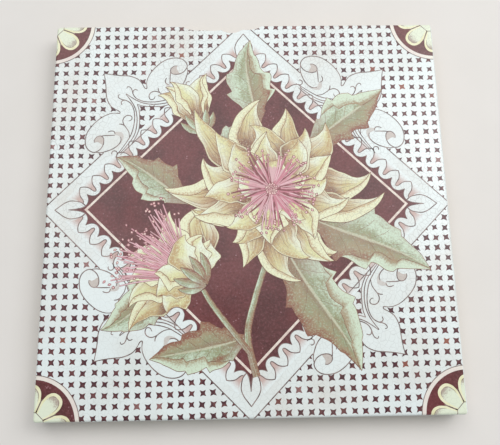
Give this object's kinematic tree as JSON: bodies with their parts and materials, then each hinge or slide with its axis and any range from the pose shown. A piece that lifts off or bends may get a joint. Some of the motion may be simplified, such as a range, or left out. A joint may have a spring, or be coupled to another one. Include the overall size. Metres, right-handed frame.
{
  "type": "ceramic wall tile",
  "caption": "Square dust-pressed wall tile with a clear glaze over a printed face, a rounded face edge, an old edge chip and a back moulded with square recesses.",
  "frame": {"origin": "middle of the back, on the plane of the border and ribs that the tile rests on", "axes": "+Z out of the glazed face, +Y towards the edge that has the chip, which is the top edge in the picture, +X to the right of the face"},
  "size_m": [0.1524, 0.1524, 0.0095],
  "materials": {
    "biscuit": "unglazed matt earthenware, with soiled pores and a little old mortar dust in the recesses",
    "printed_glaze": "clear crazed glaze over a bluish white ground printed in maroon brown, pale yellow, sage and pink",
    "print_maroon": "maroon-brown ceramic print under the clear glaze",
    "print_line": "fine brown outlines under the clear glaze",
    "print_petal": "pale yellow shaded with ochre hatching under the clear glaze",
    "print_leaf": "sage green shaded with brown hatching under the clear glaze",
    "print_pink": "pink and deep pink stamen colour under the clear glaze",
    "print_tan": "soft rose-tan shading under the clear glaze"
  },
  "bodies": {
    "root": {"biscuit_body": "biscuit", "glaze_coat": "printed_glaze"}
  },
  "joints": []
}
